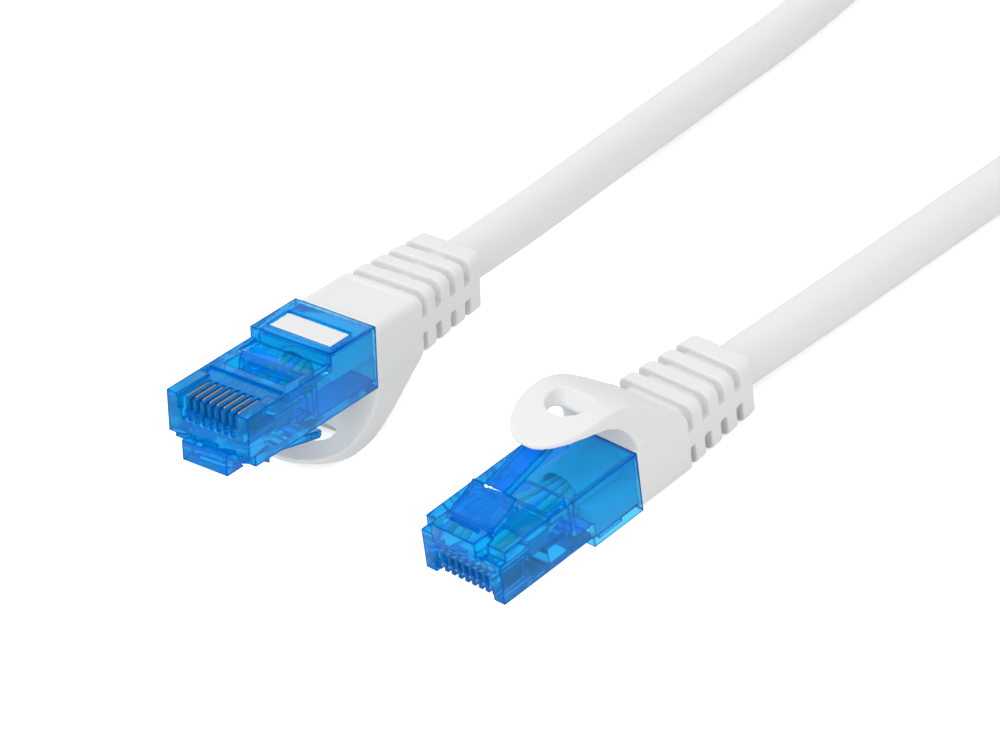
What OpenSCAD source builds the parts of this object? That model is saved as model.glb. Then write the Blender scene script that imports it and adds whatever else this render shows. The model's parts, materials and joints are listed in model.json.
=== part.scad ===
// Ethernet patch cable: two 8P8C plugs with snagless boots on one round cable.
// Each plug is drawn in its own frame: x runs from the nose to the cable,
// y across, z from the contact face towards the latch. Millimetres.

/* [Plug housing] */
// Width across the housing
plug_w = 11.7; // [11.3:0.1:12.1]
// Height from the contact face to the latch face
body_h = 6.5; // [6.2:0.1:7]
// Height of the front face, below the step that the latch grows from
nose_h = 5.2; // [4.8:0.1:5.6]
// Set-back of the housing above the front face
nose_step = 1; // [0.6:0.1:1.4]
// Length of the housing
plug_len = 22.4; // [21.6:0.1:24]
// Length of the raised rear section
rear_len = 8; // [7:0.1:9]
// Rise of the rear section over the contact face
rear_rise = 1.4; // [1.2:0.1:1.8]
// Wall of the rear section
wall = 0.7; // [0.6:0.05:0.9]
// Length of the window that the boot's tab snaps into
window_len = 3.8; // [3:0.1:4.6]
// Width of the window
window_w = 9.2; // [8:0.1:9.6]
// Housing left between the window and the rear end
window_back = 2.7; // [2.2:0.1:3.4]

/* [Contacts and wires] */
// Distance between neighbouring contacts
contact_pitch = 1.02; // [0.98:0.01:1.04]
// Thickness of a contact blade
contact_t = 0.34; // [0.28:0.02:0.4]
// Length of a contact blade
contact_len = 3.5; // [3:0.1:4.2]
// Distance from the front face to the blades
contact_front = 1; // [0.7:0.1:1.4]
// Depth of the blades under the contact face
contact_recess = 0.6; // [0.4:0.05:0.8]
// Width of the slot that a blade stands in
slot_w = 0.5; // [0.46:0.02:0.56]
// Diameter of an insulated wire
wire_d = 0.9; // [0.8:0.05:0.96]
// Depth of the wires' row under the contact face
wire_z = 3.5; // [3.3:0.1:3.8]
// Length of the bar that holds the wires in a row
bar_len = 3.2; // [2.4:0.1:4]
// Height of the bar
bar_h = 1.9; // [1.5:0.1:2.2]

/* [Latch] */
// Width of the latch at its root and its locking shoulders
latch_w = 6.5; // [5.9:0.1:6.6]
// Width of the latch lever behind the shoulders
lever_w = 3; // [2.6:0.1:3.3]
// Overhang of the latch root in front of the nose
root_out = 0.9; // [0.5:0.1:1.2]
// Height of the latch root over the contact face
root_top = 7.7; // [7.4:0.1:8]
// Distance from the nose to the locking shoulders
shoulder_x = 6.2; // [5.8:0.1:6.8]
// Height of the locking shoulders over the latch face
shoulder_rise = 2.9; // [2.4:0.1:3]
// Distance from the nose to the lever's end
lever_end = 17.2; // [16:0.1:17.4]
// Height of the lever's end over the latch face
lever_rise = 5.4; // [4.8:0.1:5.4]
// Thickness of the lever
lever_t = 0.9; // [0.8:0.1:1.2]

/* [Boot] */
// Width of the boot at the housing
boot_w = 11.8; // [11.4:0.1:12.4]
// Length of the boot behind the housing
boot_len = 21; // [19:0.1:23]
// Width of the boot at its rear end
boot_end_w = 9.5; // [9:0.1:10.4]
// Height of the strain relief at its first rib
relief_h = 8; // [7.6:0.1:8.2]
// Height of the strain relief at its rear end
relief_end_h = 7.5; // [7.2:0.1:7.7]
// Distance from the housing to the first groove
groove_start = 8.5; // [7.8:0.1:9]
// Distance between neighbouring grooves
groove_pitch = 2.95; // [2.6:0.05:3.1]
// Width of a groove
groove_w = 1; // [0.8:0.1:1.4]
// Depth of the grooves in the boot's flat faces
groove_depth = 0.5; // [0.4:0.05:0.6]
// Depth of the grooves in the boot's sides
groove_side_depth = 0.9; // [0.7:0.1:1.2]
// Number of grooves in the strain relief
groove_count = 4; // [2:1:4]
// Height of the web that joins the ribs along each side
web_h = 2; // [1.4:0.1:2.6]

/* [Boot hook] */
// Reach of the hook over the housing, from the boot to the hook's tip
hook_reach = 11.3; // [10.8:0.1:11.8]
// Height of the hook's crown over the latch face
hook_rise = 7; // [6.7:0.1:7.4]
// Thickness of the hook at its tip
hook_tip_t = 0.6; // [0.5:0.1:0.8]
// Distance from the housing to the foot of the arch under the hook
arch_foot = 0.55; // [0.5:0.05:0.9]
// Width of the hook over the lever
hook_w = 10.8; // [10:0.1:11.2]
// Length of the hook's rounded tip
tip_len = 7.3; // [6.4:0.1:7.6]
// Distance from the hook's tip to the hole
hole_back = 4.9; // [4.5:0.1:5.2]
// Length of the hole in the hook
hole_len = 5.7; // [5:0.1:6]
// Width of the hole in the hook
hole_w = 6.1; // [5:0.1:6.4]

/* [Cable] */
// Diameter of the cable
cable_d = 5.8; // [5.4:0.1:5.9]
// Depth of the cable's axis where it enters the housing
cable_in_z = 2.65; // [2.6:0.05:2.75]
// Depth of the cable's axis where it leaves the boot
cable_out_z = 2.2; // [2.05:0.05:2.4]
// Turns that the spare length is coiled in
coil_turns = 3.5; // [2.5:1:5.5]
// Radius of the coil's innermost turn
coil_r = 24.8; // [24:0.1:32]
// Step from one turn to the next
coil_step = 6.6; // [6.6:0.1:8]
// Step from one layer to the next
coil_rise = 6.6; // [6.4:0.1:7]
// Width of the strap round the coil
tie_w = 9; // [6:1:12]
// Thickness of the strap
tie_t = 0.7; // [0.5:0.1:0.7]

/* [Pose of the plugs] */
// Turn of plug A about the vertical
yaw_a = 5.6; // [0:0.2:12]
// Lift of plug A's nose, which its hook holds up
pitch_a = 7.8; // [6:0.2:12]

/* [Hidden] */
$fn = 48;
eps = 0.01;
SIDES = ["a", "b"];
COUNT = 8;

// Clearances of a seated piece and of a pivot
seat_gap = 0.05;
pivot_gap = 0.12;

// Housing
rear_x = plug_len - rear_len;
window_x = plug_len - window_back - window_len;
cavity_w = plug_w - 2 * (wall + 0.1);
cavity_x = rear_x + wall;
channel_w = COUNT * contact_pitch + 0.4;
channel_h = bar_h + 2 * seat_gap;
wire_room = wire_d + 2 * seat_gap;
face_drop = 0.35;
face_end = 6.9;
face_side_x = 5.4;
face_side_w = plug_w - 1.1;
front_drop = 0.3;
front_h = 1.8;
pocket_x = 8.1;
pocket_len = 2.5;
pocket_w = 8.8;
pocket_depth = 2;
pocket_floor = 0.6;
clamp_r = 0.9;
clamp_drop = 0.1;
clamp_fall = 0.2;
hall_x = rear_x - 2.1;
hall_z = 1.2;
room_x = pocket_x + pocket_len + pocket_floor;
room_w = pocket_w - pocket_floor;

// Contacts and wires
contact_end = contact_front + contact_len;
blade_bottom = wire_z - wire_d / 2 - 0.02;
blade_nose_r = 0.4;
tooth_h = 0.6;
wire_front = 1.2;
bar_x = contact_end + 1.2;
wire_bend_x = bar_x + bar_len + 0.4;
gather_y = 0.52;
gather_z = 0.55;
strip_r = 2.4;
strip_len = 1.4;

// Latch: root block on the nose, pivot line, plate with shoulders, lever
root_len = 2.2;
root_slot_x = 0.9;
root_slot_t = 0.5;
recess_y = 2.85;
recess_h = 0.3;
recess_depth = 0.7;
seat_open = 0.3;
pivot_r = 0.42;
pivot_x = root_len - 0.1;
pivot_z = body_h + pivot_r + 0.18;
shoulder_ramp = 1.3;
ramp_drop = 0.85;
shoulder_t = 1.5;
shoulder_z = body_h + shoulder_rise;
lever_z = body_h + lever_rise;

// Cable axis through the plug
tilt = atan((cable_in_z - cable_out_z) / boot_len);
boot_end = plug_len + boot_len;
jacket_x = cavity_x + 0.3;

// Boot
collar_z0 = -rear_rise + 0.15;
collar_z1 = body_h - 0.15;
collar_r = 1.1;
relief_r = 1.5;
relief_z0 = 0.05 - rear_rise;
relief_lap = 1;
relief_x = plug_len + groove_start - relief_lap;
panel_rim = 0.9;
panel_t = 0.12;
tongue_w = cavity_w - 4 * seat_gap;
tongue_x = window_x - 0.6;
tab_gap = 0.15;

// Hook: two cubic curves, outer and inner, from the root over the lever's end to the tip
hook_gap = 0.3;
hook_pivot_r = 0.75;
hook_pivot = [plug_len + arch_foot + pivot_gap + hook_pivot_r, collar_z1 + 0.15];
hook_outer = [
    [plug_len + groove_start - seat_gap, collar_z1 - 0.25], [plug_len - 0.8, body_h + 1.08 * hook_rise],
    [plug_len - 0.8, body_h + 1.16 * hook_rise], [plug_len - hook_reach, body_h + 0.85 * hook_rise]
];
hook_inner = [
    [plug_len + arch_foot, collar_z1], [plug_len - 0.2, body_h + 0.65 * hook_rise],
    [plug_len - 4.3, body_h + 0.96 * hook_rise], hook_outer[3] + hook_tip_t * [0.23, -0.97]
];
hook_steps = 24;
hole_corner_r = 1.2;
hook_root_w = boot_w - 0.4;
leaf_x = hook_outer[3][0] + tip_len;

// Free cable: the coil's place and layers
cable_r = cable_d / 2;
coil_x = 149.5;
coil_y = -1.5;
coil_base = cable_r + tie_t + 0.1;
coil_climb = 0.12;
coil_rings = 24;

// Point of a cubic curve with control points p
function bezier(t, p) =
    pow(1 - t, 3) * p[0] + 3 * pow(1 - t, 2) * t * p[1] + 3 * (1 - t) * pow(t, 2) * p[2] + pow(t, 3) * p[3];

// Lowest point of plug A, whose hook stands on the floor
function drop_a(p) = p[0] * sin(pitch_a) + p[1] * cos(pitch_a);
stand_a = max([for (k = [0:4 * hook_steps]) drop_a(bezier(k / (4 * hook_steps), hook_outer))]);

// Places of the two noses
nose_a = [-23.43, 14.39, stand_a];
nose_b = [-17.82, -17.33, rear_rise];

// ---------------------------------------------------------------- helpers

module place(side) {
    if (side == "a")
        translate(nose_a) rotate([0, 0, yaw_a]) rotate([0, pitch_a, 0]) rotate([180, 0, 0]) children();
    else
        translate(nose_b) children();
}

// Outline in x and z, extruded w wide across y
module profile(points, w) {
    rotate([90, 0, 0]) linear_extrude(w, center = true) polygon(points);
}

// Box between two corners, centred across y
module slab(x0, x1, w, z0, z1) {
    translate([x0, -w / 2, z0]) cube([x1 - x0, w, z1 - z0]);
}

// Bar along x with rounded corners in its cross-section
module rounded_bar(x0, x1, w, z0, z1, r) {
    translate([x0, 0, (z0 + z1) / 2]) rotate([90, 0, 90]) linear_extrude(x1 - x0) {
        square([w - 2 * r, z1 - z0], center = true);
        square([w, z1 - z0 - 2 * r], center = true);
        for (y = [-1, 1], z = [-1, 1])
            translate([y * (w / 2 - r), z * ((z1 - z0) / 2 - r)]) circle(r);
    }
}

// Cylinder along the cable's axis inside the plug
module along_cable(x0, x1, r) {
    translate([plug_len, 0, cable_in_z]) rotate([0, 90 + tilt, 0])
        translate([0, 0, (x0 - plug_len) / cos(tilt)]) cylinder(h = (x1 - x0) / cos(tilt), r = r);
}

// Places of the contacts across the plug
function contact_y(i) = (i - (COUNT + 1) / 2) * contact_pitch;

// ---------------------------------------------------------------- housing

module housing() {
    color([0.10, 0.52, 0.95, 0.75]) difference() {
        union() {
            profile([
                [0, 0], [rear_x, 0], [rear_x, -rear_rise], [plug_len, -rear_rise],
                [plug_len, body_h], [nose_step, body_h], [nose_step, nose_h], [0, nose_h]
            ], plug_w);
            latch_root();
        }
        housing_cavity();
        contact_slots();
        clamp_pocket();
        latch_groove();
        root_recesses();
        slab(window_x, window_x + window_len, window_w, -rear_rise - eps, 0);
    }
}

// Block at the nose that carries the latch, flush with the step
module latch_root() {
    slab(-root_out, root_len, latch_w, nose_h, root_top);
}

// Slot across the block's top, and three recesses where its underside meets the nose
module root_recesses() {
    slab(root_slot_x, root_slot_x + root_slot_t, latch_w - 2.4, root_top - root_slot_t, root_top + eps);
    for (k = [-1, 0, 1])
        translate([0, k * recess_y, 0])
            slab(-eps, recess_depth, k == 0 ? 2 : 1.2, nose_h - recess_h, nose_h + 0.1);
}

// Seat of the latch's pivot, open towards the latch
module latch_groove() {
    translate([pivot_x, 0, pivot_z]) rotate([90, 0, 0])
        cylinder(h = latch_w + 2 * eps, r = pivot_r + pivot_gap, center = true);
    slab(pivot_x, root_len + eps, latch_w + 2 * eps, body_h, root_top + eps);
    slab(pivot_x - seat_open, root_len, latch_w + 2 * eps, pivot_z, root_top + eps);
}

// Room for the wires, their bar and the end of the cable
module housing_cavity() {
    room_top = body_h - wall - 0.4;
    slab(wire_front - 0.1, bar_x, channel_w, wire_z - wire_room / 2, wire_z + wire_room / 2);
    slab(bar_x - seat_gap, room_x, channel_w, wire_z - channel_h / 2, wire_z + channel_h / 2);
    slab(wire_bend_x, cavity_x + eps, room_w, pocket_depth + pocket_floor, room_top);
    slab(room_x, cavity_x + eps, room_w, pocket_depth - 0.4, room_top);
    slab(hall_x, cavity_x + eps, cavity_w, hall_z, body_h - wall);
    slab(cavity_x, plug_len + eps, cavity_w, wall - rear_rise, body_h - wall);
}

// Slots that open to the contact face and to the front
module contact_slots() {
    slab(-eps, face_end, channel_w, -eps, face_drop);
    slab(face_side_x, face_end, face_side_w, -eps, face_drop);
    slab(-eps, front_drop, channel_w, -eps, front_h);
    for (i = [1:COUNT])
        translate([0, contact_y(i), 0])
            slab(-eps, contact_end + 0.3, slot_w, 0, wire_z - wire_room / 2 + eps);
}

// Pocket in front of the clamp bar, and the bar's rounded nose and sloping back
module clamp_pocket() {
    clamp_x = pocket_x + pocket_len;
    profile([
        [pocket_x, -eps], [pocket_x, pocket_depth], [clamp_x, pocket_depth],
        for (a = [0:15:90]) [clamp_x + clamp_r * (1 - cos(a)), clamp_drop + clamp_r * (1 - sin(a))],
        [clamp_x + clamp_r, -eps]
    ], pocket_w);
    profile([
        [clamp_x + clamp_r - eps, -eps], [clamp_x + clamp_r - eps, clamp_drop],
        [rear_x, clamp_drop + clamp_fall], [rear_x, -eps]
    ], cavity_w);
}

// ---------------------------------------------------------------- latch

module latch() {
    color([0.12, 0.55, 0.98, 0.75]) {
        translate([pivot_x, 0, pivot_z]) rotate([90, 0, 0])
            cylinder(h = latch_w, r = pivot_r, center = true);
        profile([
            [pivot_x, pivot_z - pivot_r / 2], [pivot_x, pivot_z + pivot_r],
            [pivot_x + 0.7, root_top + 0.2],
            [shoulder_x - shoulder_ramp, shoulder_z - ramp_drop],
            [shoulder_x, shoulder_z], [shoulder_x, shoulder_z - shoulder_t]
        ], latch_w);
        profile([
            [shoulder_x - eps, shoulder_z], [lever_end - 0.3, lever_z], [lever_end, lever_z - 0.3],
            [lever_end, lever_z - lever_t], [shoulder_x - eps, shoulder_z - lever_t - 0.2]
        ], lever_w);
    }
}

// ---------------------------------------------------------------- contacts and wires

// Blade with a rounded nose and three teeth over its wire
module contact(i) {
    tooth = contact_len / 6;
    nose = contact_recess + blade_nose_r;
    color("gold") translate([0, contact_y(i), 0]) {
        difference() {
            profile([
                [contact_front, contact_recess], [contact_end, contact_recess],
                [contact_end, blade_bottom - tooth_h],
                for (k = [0:5])
                    [contact_end - (k + 0.5) * tooth, blade_bottom - (k % 2 == 0 ? 0 : tooth_h)],
                [contact_front, blade_bottom - tooth_h]
            ], contact_t);
            slab(contact_front - eps, contact_front + blade_nose_r, contact_t + 1, 0, nose);
        }
        translate([contact_front + blade_nose_r, 0, nose]) rotate([90, 0, 0])
            cylinder(h = contact_t, r = blade_nose_r, center = true);
    }
}

module load_bar() {
    color([0.85, 0.9, 0.95, 0.8]) difference() {
        slab(bar_x, bar_x + bar_len, channel_w - 4 * seat_gap, wire_z - bar_h / 2, wire_z + bar_h / 2);
        for (i = [1:COUNT])
            translate([bar_x - eps, contact_y(i), wire_z]) rotate([0, 90, 0])
                cylinder(h = bar_len + 2 * eps, d = wire_d + 0.04);
    }
}

WIRE_COLORS = ["orange", "darkorange", "palegreen", "royalblue",
    "lightblue", "green", "tan", "saddlebrown"];

// Place of a wire in the end of the jacket, in two staggered rows
function wire_in_jacket(i, x) = [
    x, (i - (COUNT + 1) / 2) * gather_y, cable_axis(x) + (i % 2 == 0 ? -1 : 1) * gather_z
];

// Wire from under its contact through the bar into the end of the jacket
module wire(i) {
    color(WIRE_COLORS[i - 1]) tube([
        [wire_front, contact_y(i), wire_z], [wire_bend_x, contact_y(i), wire_z],
        wire_in_jacket(i, jacket_x - 0.1), wire_in_jacket(i, jacket_x + strip_len)
    ], wire_d / 2, 8);
}

function cable_axis(x) = cable_in_z - (x - plug_len) * tan(tilt);

module jacket_end() {
    color([0.9, 0.9, 0.91]) difference() {
        along_cable(jacket_x, boot_end, cable_r);
        along_cable(jacket_x - 1, jacket_x + 2 * strip_len, strip_r);
    }
}

// ---------------------------------------------------------------- boot

module boot() {
    color([0.88, 0.88, 0.89]) {
        difference() {
            union() {
                rounded_bar(plug_len, plug_len + groove_start, boot_w, collar_z0, collar_z1, collar_r);
                strain_relief();
                boot_tongue();
            }
            collar_panel();
            along_cable(tongue_x - 1, boot_end + 1, cable_r + seat_gap);
            hook_seat();
        }
    }
}

// Shallow panel sunk in the collar's contact side
module collar_panel() {
    slab(plug_len + panel_rim, plug_len + groove_start - panel_rim, boot_w - 2 * collar_r - 2 * panel_rim,
        collar_z0 - eps, collar_z0 + panel_t);
}

// Tapered block with grooves round its core; a web along each side joins the ribs
module strain_relief() {
    difference() {
        relief_block(0, 0);
        difference() {
            for (k = [0:groove_count - 1])
                groove(plug_len + groove_start + k * groove_pitch);
            relief_block(groove_depth, groove_side_depth);
        }
    }
}

// The block, or its core, which lies deeper under the flat faces and the sides
module relief_block(depth, side_depth) {
    z0 = relief_z0 + depth;
    z1 = relief_z0 + relief_h - depth;
    intersection() {
        rounded_bar(relief_x, boot_end, boot_w - 2 * side_depth, z0, z1, relief_r);
        translate([0, 0, relief_z0 - 1]) linear_extrude(relief_h + 2) relief_plan(side_depth);
        profile([
            [relief_x, z0], [relief_x, collar_z1], [relief_x + relief_lap, collar_z1],
            [relief_x + relief_lap, z1], [boot_end, relief_z0 + relief_end_h - depth], [boot_end, z0]
        ], boot_w);
    }
}

module relief_plan(side_depth) {
    r = 1;
    front = boot_w / 2 - 0.2 - side_depth;
    rear = boot_end_w / 2 - r - side_depth;
    polygon(concat(
        [[relief_x, -front], [relief_x, front]],
        [for (a = [90:-15:0]) [boot_end - r + r * cos(a), rear + r * sin(a)]],
        [for (a = [0:-15:-90]) [boot_end - r + r * cos(a), -rear + r * sin(a)]]
    ));
}

module groove(x) {
    slab(x, x + groove_w, boot_w + 1, relief_z0 - 1, cable_in_z - web_h / 2);
    slab(x, x + groove_w, boot_w + 1, cable_in_z + web_h / 2, relief_z0 + relief_h + 1);
}

// Part of the boot inside the housing, with the tab that fills the window
module boot_tongue() {
    slab(tongue_x, plug_len + 1, tongue_w, wall - rear_rise + seat_gap, cable_in_z);
    slab(window_x + tab_gap, window_x + window_len - tab_gap, window_w - 2 * tab_gap,
        0.1 - rear_rise, 0);
}

// Trough for the hook's root
module hook_seat() {
    translate([hook_pivot[0], 0, hook_pivot[1]]) rotate([90, 0, 0])
        cylinder(h = hook_root_w + 2 * hook_gap, r = hook_pivot_r + pivot_gap, center = true);
}

// ---------------------------------------------------------------- hook

module hook() {
    steps = [for (k = [0:hook_steps]) k / hook_steps];
    color([0.9, 0.9, 0.91]) {
        difference() {
            intersection() {
                profile(concat([for (t = steps) bezier(t, hook_outer)],
                    [for (t = steps) bezier(1 - t, hook_inner)]), boot_w);
                linear_extrude(body_h + 2 * hook_rise) leaf_plan();
            }
            hook_hole();
            hook_clear();
        }
        translate([hook_pivot[0], 0, hook_pivot[1]]) rotate([90, 0, 0])
            cylinder(h = hook_root_w, r = hook_pivot_r, center = true);
    }
}

// Outline of the hook from above: straight sides and a rounded tip
module leaf_plan() {
    polygon(concat(
        [[hook_outer[0][0] + 1, -hook_root_w / 2], [hook_outer[0][0] + 1, hook_root_w / 2]],
        [for (a = [90:7.5:270]) [leaf_x + tip_len * cos(a), hook_w / 2 * sin(a)]]
    ));
}

// Hole over the lever's end, cut square to the latch face
module hook_hole() {
    translate([hook_outer[3][0] + hole_back, 0, body_h]) linear_extrude(2 * hook_rise) hole_plan();
}

// Outline of the hole: a half circle towards the tip, rounded corners towards the root
module hole_plan() {
    front_r = hole_w / 2;
    y = front_r - hole_corner_r;
    polygon(concat(
        [for (a = [90:7.5:270]) [front_r + front_r * cos(a), front_r * sin(a)]],
        [for (a = [-90:15:0]) [hole_len, -y] + hole_corner_r * [cos(a) - 1, sin(a)]],
        [for (a = [0:15:90]) [hole_len, y] + hole_corner_r * [cos(a) - 1, sin(a)]]
    ));
}

// Room between the hook and the boot's collar, kept over the hook's travel
module hook_clear() {
    slab(hook_outer[3][0], hook_outer[0][0] + 1, boot_w + 1, 0, collar_z1 + hook_gap);
}

// ---------------------------------------------------------------- free cable

// Tube through points, with n sides and flat ends
module tube(path, r, n) {
    last = len(path) - 1;
    rings = [for (k = [0:last])
        let (t = unit(path[min(k + 1, last)] - path[max(k - 1, 0)]),
             u = unit(cross(t, [0, 0, 1])), v = cross(u, t))
        [for (s = [0:n - 1]) path[k] + r * (cos(360 * (s + 0.5) / n) * u + sin(360 * (s + 0.5) / n) * v)]];
    faces = concat(
        [[for (s = [n - 1:-1:0]) s], [for (s = [0:n - 1]) last * n + s]],
        [for (k = [0:last - 1], s = [0:n - 1])
            let (a = k * n + s, b = k * n + (s + 1) % n)
            each [[a, b, b + n], [a, b + n, a + n]]]
    );
    polyhedron([for (ring = rings) each ring], faces, convexity = 6);
}

function unit(v) = v / norm(v);

// World place of a point of a plug
function world_b(p) = nose_b + p;
function world_a(p) =
    let (x = p[0] * cos(pitch_a) - p[2] * sin(pitch_a), y = -p[1],
         z = -p[0] * sin(pitch_a) - p[2] * cos(pitch_a))
    nose_a + [x * cos(yaw_a) - y * sin(yaw_a), x * sin(yaw_a) + y * cos(yaw_a), z];

exit_a = world_a([boot_end, 0, cable_out_z]);
exit_b = world_b([boot_end, 0, cable_out_z]);

// Route points of the two free stretches, from each boot to the coil
route_a = [
    [24.5, 19.1, 7.35], [36.5, 20.7, 5.8], [48.5, 22.5, 4.4], [60.5, 23.8, 3.4], [73.5, 24.5, 2.95],
    [86.5, 24.8, 2.95], [99.5, 26.1, 2.95], [112.5, 28.3, 2.95], [124.5, 31.1, 3.1], [135.5, 33.3, 3.5]
];
route_b = [
    [31.5, -17.3, 3.3], [43.5, -17.7, 3], [55.5, -18.2, 2.95], [68.5, -18.8, 2.95], [81.5, -19.8, 3.2],
    [93.5, -21.7, 4.2], [105.5, -25, 5.8], [117.5, -29.5, 7.6], [128.5, -33.8, 9.2], [136.5, -36.3, 10.1]
];

// The coil winds in on the floor layer, climbs over half a turn and winds out
function coil_ease(t) = let (c = min(max(t, 0), 1)) c * c * (3 - 2 * c);
function coil_radius(s) = coil_r + coil_step * max(abs(s) - coil_climb, 0);
function coil_height(s) = coil_base + coil_rise * coil_ease((s + coil_climb) / (2 * coil_climb));
function coil_point(u) =
    let (s = u - coil_turns / 2, a = 90 - 360 * u, r = coil_radius(s))
    [coil_x + r * cos(a), coil_y + r * sin(a), coil_height(s)];

coil_last = coil_rings * coil_turns;
coil_turn_points = [for (k = [0:coil_last]) coil_point(k / coil_rings)];
coil_in = coil_point(0) - [cable_d, 0, 0];
coil_out = coil_point(coil_turns) - [cable_d, 0, 0];
coil_path = [coil_in, each coil_turn_points, coil_out];
path_a = [exit_a, each route_a, coil_in];
path_b = [exit_b, each route_b, coil_out];

function path_length(p) = path_sum([for (k = [1:len(p) - 1]) norm(p[k] - p[k - 1])]);
function path_sum(v, k = 0) = k == len(v) ? 0 : v[k] + path_sum(v, k + 1);
coil_gap = min([for (i = [0:coil_last], j = [i + coil_rings / 2:coil_last])
    norm(coil_turn_points[i] - coil_turn_points[j])]) - cable_d;
echo(coil_least_gap = coil_gap);
echo(cable_length = path_length(path_a) + path_length(coil_path) + path_length(path_b));

module cable_a() {
    color([0.9, 0.9, 0.91]) tube(path_a, cable_r, 8);
}

module cable_b() {
    color([0.9, 0.9, 0.91]) tube(path_b, cable_r, 8);
}

module coil() {
    color([0.9, 0.9, 0.91]) tube(coil_path, cable_r, 6);
}

// Strap round the coil where its two layers lie one on the other
module tie() {
    r_in = coil_radius(0.5) - cable_r;
    r_out = coil_radius(coil_turns / 2 - 0.25) + cable_r;
    x0 = coil_x + sqrt(r_in * r_in - tie_w * tie_w / 4) - seat_gap;
    x1 = coil_x + r_out + seat_gap;
    z0 = coil_base - cable_r - seat_gap;
    z1 = coil_base + coil_rise + cable_r + seat_gap;
    color([0.93, 0.93, 0.93]) translate([(x0 + x1) / 2, coil_y, 0]) rotate([0, 0, 90]) difference() {
        rounded_bar(-tie_w / 2, tie_w / 2, x1 - x0 + 2 * tie_t, z0 - tie_t, z1 + tie_t, 2 + tie_t);
        rounded_bar(-tie_w / 2 - 1, tie_w / 2 + 1, x1 - x0, z0, z1, 2);
    }
}

// ---------------------------------------------------------------- nodes

for (s = SIDES) {
    place(s) housing();
    place(s) latch();
    place(s) load_bar();
    for (i = [1:COUNT]) {
        place(s) contact(i);
        place(s) wire(i);
    }
    place(s) jacket_end();
    place(s) boot();
    place(s) hook();
}
cable_a();
coil();
tie();
cable_b();
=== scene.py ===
"""Dresses the patch cable: soft boots, clear blue plugs, one smooth cable and its strap."""

import json
import math

import bmesh
import bpy
from mathutils import Matrix, Vector


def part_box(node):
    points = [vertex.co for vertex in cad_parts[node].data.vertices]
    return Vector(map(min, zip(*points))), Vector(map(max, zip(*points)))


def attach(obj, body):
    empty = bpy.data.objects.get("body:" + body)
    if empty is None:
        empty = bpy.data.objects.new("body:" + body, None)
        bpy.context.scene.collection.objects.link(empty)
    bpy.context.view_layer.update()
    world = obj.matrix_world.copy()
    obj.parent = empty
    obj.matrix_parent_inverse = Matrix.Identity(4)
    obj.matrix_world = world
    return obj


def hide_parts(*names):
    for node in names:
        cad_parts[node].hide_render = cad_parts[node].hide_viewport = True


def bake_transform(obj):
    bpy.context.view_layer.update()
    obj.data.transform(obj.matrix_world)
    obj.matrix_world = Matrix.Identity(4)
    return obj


bl_info = {
    "name": "Patch cable finish",
    "version": (1, 0, 0),
    "blender": (4, 5, 0),
    "location": "View3D > Sidebar > Patch cable",
    "description": "Builds the soft parts and the materials of a network patch cable",
    "category": "Object",
}

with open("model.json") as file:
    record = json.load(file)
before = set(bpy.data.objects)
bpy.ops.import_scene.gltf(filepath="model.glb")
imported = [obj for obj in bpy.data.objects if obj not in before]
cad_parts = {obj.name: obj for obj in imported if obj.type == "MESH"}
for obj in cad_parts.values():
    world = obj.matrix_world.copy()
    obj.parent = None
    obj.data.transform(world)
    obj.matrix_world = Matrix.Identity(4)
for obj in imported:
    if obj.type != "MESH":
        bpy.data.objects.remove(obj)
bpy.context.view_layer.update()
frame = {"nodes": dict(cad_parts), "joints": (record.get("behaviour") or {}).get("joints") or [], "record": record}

MM = 0.001
SIDES = ("a", "b")
COUNT = 8
WELD_REACH = 0.001 * MM

# Plug, in its own frame: x from the nose to the cable, y across, z to the latch. Metres.
BODY_H = 6.5 * MM
PLUG_LEN = 22.4 * MM
BOOT_LEN = 21 * MM
BOOT_END = PLUG_LEN + BOOT_LEN
CABLE_IN_Z = 2.65 * MM
CABLE_OUT_Z = 2.2 * MM
COLLAR_TOP = 6.35 * MM
GROOVE_START = 8.5 * MM
GROOVE_PITCH = 2.95 * MM
GROOVE_W = 1 * MM
GROOVE_SPARE = 0.08 * MM
GROOVE_COUNT = 4
GROOVE_DEPTH = 1 * MM
GROOVE_SIDE_DEPTH = 1.3 * MM
WEB_H = 2 * MM
RELIEF_LOW = -1.35 * MM
RELIEF_HIGH = (6.65 * MM, 6.15 * MM)
RELIEF_HALF_W = (5.7 * MM, 4.75 * MM)
RELIEF_ROUND = 1.3 * MM
CUTTER_REACH = 9 * MM
BORE_LIP = 0.02 * MM
ARCH_FOOT = 0.55 * MM
HOOK_ROOT_W = 11.4 * MM
ROOT_RISE = 0.6 * MM
ROOT_SINK = 0.5 * MM

# Hook: control points (x, z) of its outer and inner faces, in millimetres
HOOK_OUTER = ((30.85, 6.1), (21.6, 14.06), (21.6, 14.62), (11.1, 12.45))
HOOK_INNER = ((22.95, 6.35), (22.2, 11.05), (18.1, 13.22), (11.238, 11.868))
HOOK_STEPS = 96

# Hole in the hook, from above to below, in millimetres: centre and radius of its round front end,
# its rear end, the radius of its rear corners, and the height of that outline
HOLE_LEVELS = (
    (18.9, 2.75, 20.9, 1.5, 16), (18.9, 2.75, 20.9, 1.5, 13.35),
    (18.7, 2.35, 19.4, 0.9, 11.75), (18.7, 2.35, 19.4, 0.9, 6),
)
LINING_ENDS = (15.7 * MM, 22.1 * MM)
LINING_HALF_W = 3.2 * MM

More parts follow.
